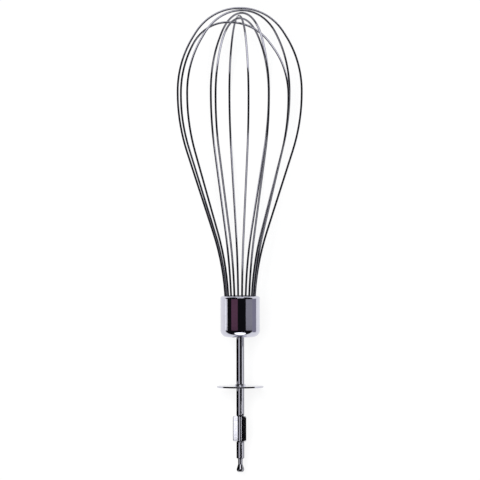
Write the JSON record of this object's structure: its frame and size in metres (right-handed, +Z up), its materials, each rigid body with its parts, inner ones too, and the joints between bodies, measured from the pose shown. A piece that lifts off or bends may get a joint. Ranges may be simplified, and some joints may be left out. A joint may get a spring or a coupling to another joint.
{
  "type": "immersion blender whisk attachment",
  "caption": "Balloon whisk for a hand blender: bent wire loops set in a drawn steel ferrule, on a drive shaft with keying lugs, a snap-in tip and a splash disc.",
  "frame": {"origin": "on the surface that the whisk lies on, under the middle of its box", "axes": "+Y along the whisk, from the drive tip towards the crown of the balloon; +Z up"},
  "size_m": [0.0642, 0.2398, 0.0647],
  "materials": {
    "wire_steel": "polished spring wire",
    "ferrule_steel": "polished",
    "shaft_steel": "ground",
    "disc_steel": "tumbled",
    "holder_nylon": "moulded"
  },
  "bodies": {
    "root": {"drive_shaft": "shaft_steel", "splash_disc": "disc_steel", "ferrule_cup": "ferrule_steel", "wire_holder": "holder_nylon", "wire_loop_1": "wire_steel", "wire_loop_2": "wire_steel", "wire_loop_3": "wire_steel", "wire_loop_4": "wire_steel", "wire_loop_5": "wire_steel", "wire_loop_6": "wire_steel"}
  },
  "joints": []
}
